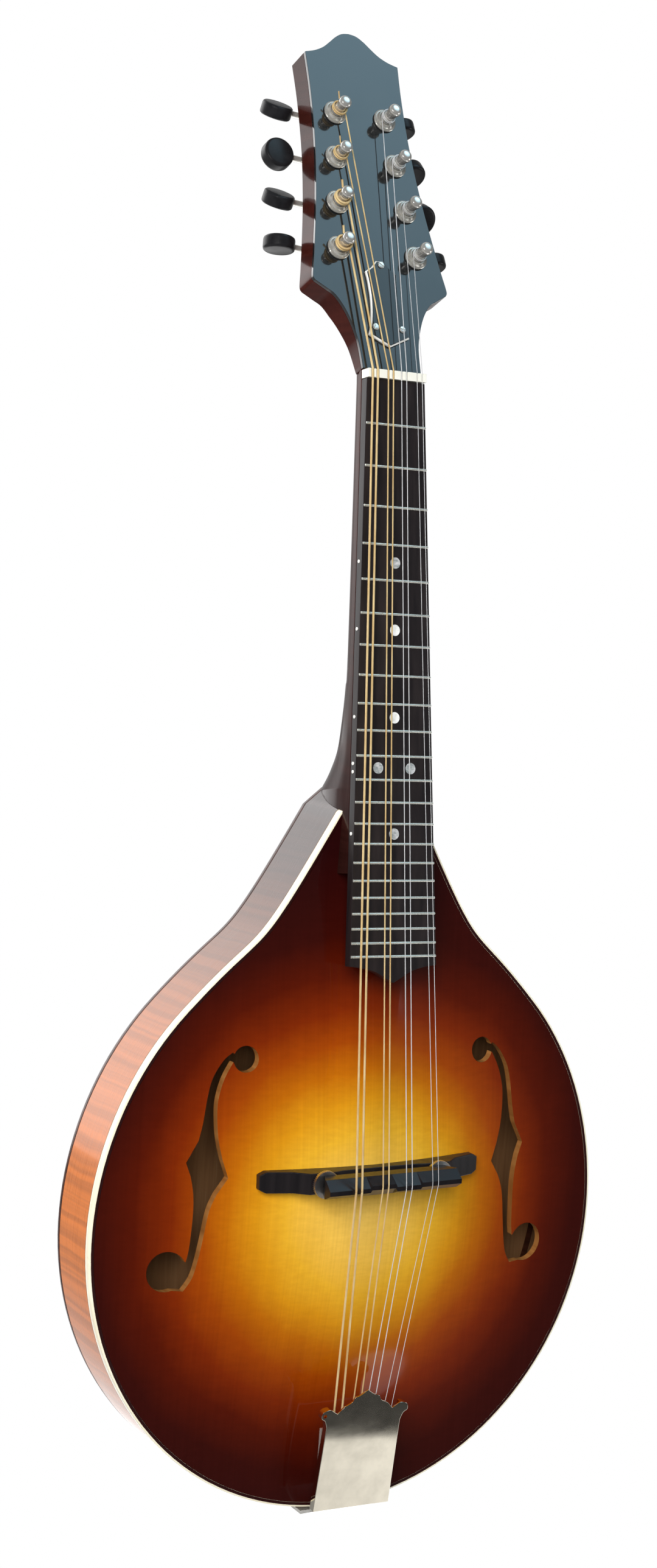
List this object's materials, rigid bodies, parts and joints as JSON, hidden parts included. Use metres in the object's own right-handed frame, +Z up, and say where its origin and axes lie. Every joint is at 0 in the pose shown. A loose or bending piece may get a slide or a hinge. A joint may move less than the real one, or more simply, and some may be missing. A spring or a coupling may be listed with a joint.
{
  "type": "a-style mandolin",
  "caption": "Flat-shouldered teardrop mandolin with arched top, f-holes, geared tuners, adjustable two-wheel bridge and a covered tailpiece.",
  "frame": {"origin": "middle of the fretboard's face at the front of the nut, where the yoke of a wall hanger takes the neck", "axes": "+X to the treble side, +Y from the strings to the back, +Z up the neck; the rim's edges lie square to Y and the neck leans back 7.5 degrees"},
  "size_m": [0.2564, 0.1305, 0.6756],
  "materials": {
    "spruce_sunburst": "high-gloss sunburst",
    "maple_back": "gloss stained maple",
    "maple_sides": "satin flamed maple",
    "cream_binding": "polished",
    "inner_wood": "bare",
    "inner_spruce": "bare",
    "neck_maple": "gloss stained maple",
    "ebony_board": "oiled, with nickel-silver frets",
    "bone_nut": "polished bone",
    "head_veneer": "high-gloss black",
    "black_plastic": "polished",
    "plain_steel": "plain",
    "brass": "turned",
    "bridge_ebony": "polished",
    "nickel": "polished nickel plate",
    "pin_black": "polished ebony",
    "string_bronze": "wound bronze",
    "string_steel": "plain steel",
    "button_black": "satin black"
  },
  "bodies": {
    "instrument": {"top_plate": "spruce_sunburst", "back_plate": "maple_back", "rim": "maple_sides", "top_binding": "cream_binding", "head_block": "inner_wood", "tail_block": "inner_wood", "tone_bar_bass": "inner_spruce", "tone_bar_treble": "inner_spruce", "neck": "neck_maple", "fretboard": "ebony_board", "nut": "bone_nut", "headplate": "head_veneer", "truss_rod_cover": "black_plastic", "truss_rod": "plain_steel", "bridge_base": "bridge_ebony", "bridge_post_bass": "plain_steel", "bridge_post_treble": "plain_steel", "tailpiece_base": "nickel", "end_pin": "pin_black", "tuner_plate_bass": "nickel", "tuner_plate_treble": "nickel", "string_g_outer": "string_bronze", "string_g_inner": "string_bronze", "string_d_outer": "string_bronze", "string_d_inner": "string_bronze", "string_a_outer": "string_steel", "string_a_inner": "string_steel", "string_e_outer": "string_steel", "string_e_inner": "string_steel", "tuner_bushing_bass_1": "nickel", "tuner_bushing_bass_2": "nickel", "tuner_bushing_bass_3": "nickel", "tuner_bushing_bass_4": "nickel", "tuner_bushing_treble_1": "nickel", "tuner_bushing_treble_2": "nickel", "tuner_bushing_treble_3": "nickel", "tuner_bushing_treble_4": "nickel"},
    "button_bass_1": {"tuner_button_bass_1": "button_black"},
    "post_bass_1": {"tuner_post_bass_1": "nickel"},
    "button_bass_2": {"tuner_button_bass_2": "button_black"},
    "post_bass_2": {"tuner_post_bass_2": "nickel"},
    "button_bass_3": {"tuner_button_bass_3": "button_black"},
    "post_bass_3": {"tuner_post_bass_3": "nickel"},
    "button_bass_4": {"tuner_button_bass_4": "button_black"},
    "post_bass_4": {"tuner_post_bass_4": "nickel"},
    "button_treble_1": {"tuner_button_treble_1": "button_black"},
    "post_treble_1": {"tuner_post_treble_1": "nickel"},
    "button_treble_2": {"tuner_button_treble_2": "button_black"},
    "post_treble_2": {"tuner_post_treble_2": "nickel"},
    "button_treble_3": {"tuner_button_treble_3": "button_black"},
    "post_treble_3": {"tuner_post_treble_3": "nickel"},
    "button_treble_4": {"tuner_button_treble_4": "button_black"},
    "post_treble_4": {"tuner_post_treble_4": "nickel"},
    "saddle": {"bridge_saddle": "bridge_ebony"},
    "thumbwheel_bass": {"thumbwheel_bass": "nickel"},
    "thumbwheel_treble": {"thumbwheel_treble": "nickel"},
    "tail_cover": {"tailpiece_cover": "nickel"},
    "truss_nut": {"truss_rod_nut": "brass"}
  },
  "joints": [
    {"name": "tune_bass_1", "type": "hinge", "parent": "instrument", "child": "button_bass_1", "pos_m": [-0.01926, 0.04416, 0.05626], "axis": [-0.9947, 0.0382, 0.0954], "continuous": true},
    {"name": "wind_bass_1", "type": "hinge", "parent": "instrument", "child": "post_bass_1", "pos_m": [-0.0199, 0.02516, 0.05721], "axis": [0, -0.9285, 0.3714], "continuous": true},
    {"name": "tune_bass_2", "type": "hinge", "parent": "instrument", "child": "button_bass_2", "pos_m": [-0.01693, 0.05255, 0.07722], "axis": [-0.9947, 0.0382, 0.0954], "continuous": true},
    {"name": "wind_bass_2", "type": "hinge", "parent": "instrument", "child": "post_bass_2", "pos_m": [-0.01757, 0.03355, 0.07818], "axis": [0, -0.9285, 0.3714], "continuous": true},
    {"name": "tune_bass_3", "type": "hinge", "parent": "instrument", "child": "button_bass_3", "pos_m": [-0.0146, 0.06093, 0.09819], "axis": [-0.9947, 0.0382, 0.0954], "continuous": true},
    {"name": "wind_bass_3", "type": "hinge", "parent": "instrument", "child": "post_bass_3", "pos_m": [-0.01523, 0.04193, 0.09914], "axis": [0, -0.9285, 0.3714], "continuous": true},
    {"name": "tune_bass_4", "type": "hinge", "parent": "instrument", "child": "button_bass_4", "pos_m": [-0.01226, 0.06932, 0.11915], "axis": [-0.9947, 0.0382, 0.0954], "continuous": true},
    {"name": "wind_bass_4", "type": "hinge", "parent": "instrument", "child": "post_bass_4", "pos_m": [-0.0129, 0.05032, 0.12011], "axis": [0, -0.9285, 0.3714], "continuous": true},
    {"name": "tune_treble_1", "type": "hinge", "parent": "instrument", "child": "button_treble_1", "pos_m": [0.01926, 0.04416, 0.05626], "axis": [0.9947, 0.0382, 0.0954], "continuous": true},
    {"name": "wind_treble_1", "type": "hinge", "parent": "instrument", "child": "post_treble_1", "pos_m": [0.0199, 0.02516, 0.05721], "axis": [0, -0.9285, 0.3714], "continuous": true},
    {"name": "tune_treble_2", "type": "hinge", "parent": "instrument", "child": "button_treble_2", "pos_m": [0.01693, 0.05255, 0.07722], "axis": [0.9947, 0.0382, 0.0954], "continuous": true},
    {"name": "wind_treble_2", "type": "hinge", "parent": "instrument", "child": "post_treble_2", "pos_m": [0.01757, 0.03355, 0.07818], "axis": [0, -0.9285, 0.3714], "continuous": true},
    {"name": "tune_treble_3", "type": "hinge", "parent": "instrument", "child": "button_treble_3", "pos_m": [0.0146, 0.06093, 0.09819], "axis": [0.9947, 0.0382, 0.0954], "continuous": true},
    {"name": "wind_treble_3", "type": "hinge", "parent": "instrument", "child": "post_treble_3", "pos_m": [0.01523, 0.04193, 0.09914], "axis": [0, -0.9285, 0.3714], "continuous": true},
    {"name": "tune_treble_4", "type": "hinge", "parent": "instrument", "child": "button_treble_4", "pos_m": [0.01226, 0.06932, 0.11915], "axis": [0.9947, 0.0382, 0.0954], "continuous": true},
    {"name": "wind_treble_4", "type": "hinge", "parent": "instrument", "child": "post_treble_4", "pos_m": [0.0129, 0.05032, 0.12011], "axis": [0, -0.9285, 0.3714], "continuous": true},
    {"name": "saddle_lift", "type": "slide", "parent": "instrument", "child": "saddle", "axis": [0, -1, 0], "range_m": [-0.0007, 0.0026], "deforming": ["string_g_outer", "string_g_inner", "string_d_outer", "string_d_inner", "string_a_outer", "string_a_inner", "string_e_outer", "string_e_inner"]},
    {"name": "thumbwheel_bass_turn", "type": "hinge", "parent": "saddle", "child": "thumbwheel_bass", "pos_m": [-0.02869, -0.0375, -0.35059], "axis": [0, -1, 0], "range_deg": [-320, 1180]},
    {"name": "thumbwheel_treble_turn", "type": "hinge", "parent": "saddle", "child": "thumbwheel_treble", "pos_m": [0.02869, -0.0375, -0.34928], "axis": [0, -1, 0], "range_deg": [-320, 1180]},
    {"name": "tail_cover_slide", "type": "slide", "parent": "instrument", "child": "tail_cover", "axis": [0, -0.1478, 0.989], "range_m": [0, 0.03]},
    {"name": "truss_nut_turn", "type": "hinge", "parent": "instrument", "child": "truss_nut", "pos_m": [0, 0.01261, 0.0054], "axis": [0, 0.1305, 0.9914], "range_deg": [-180, 180]}
  ],
  "couplings": [
    {"joint": "wind_bass_1", "follows": "tune_bass_1", "ratio": -0.071429},
    {"joint": "wind_bass_2", "follows": "tune_bass_2", "ratio": -0.071429},
    {"joint": "wind_bass_3", "follows": "tune_bass_3", "ratio": -0.071429},
    {"joint": "wind_bass_4", "follows": "tune_bass_4", "ratio": -0.071429},
    {"joint": "wind_treble_1", "follows": "tune_treble_1", "ratio": 0.071429},
    {"joint": "wind_treble_2", "follows": "tune_treble_2", "ratio": 0.071429},
    {"joint": "wind_treble_3", "follows": "tune_treble_3", "ratio": 0.071429},
    {"joint": "wind_treble_4", "follows": "tune_treble_4", "ratio": 0.071429},
    {"joint": "thumbwheel_bass_turn", "follows": "saddle_lift", "rad_per_m": 7913.3},
    {"joint": "thumbwheel_treble_turn", "follows": "saddle_lift", "rad_per_m": 7913.3}
  ]
}
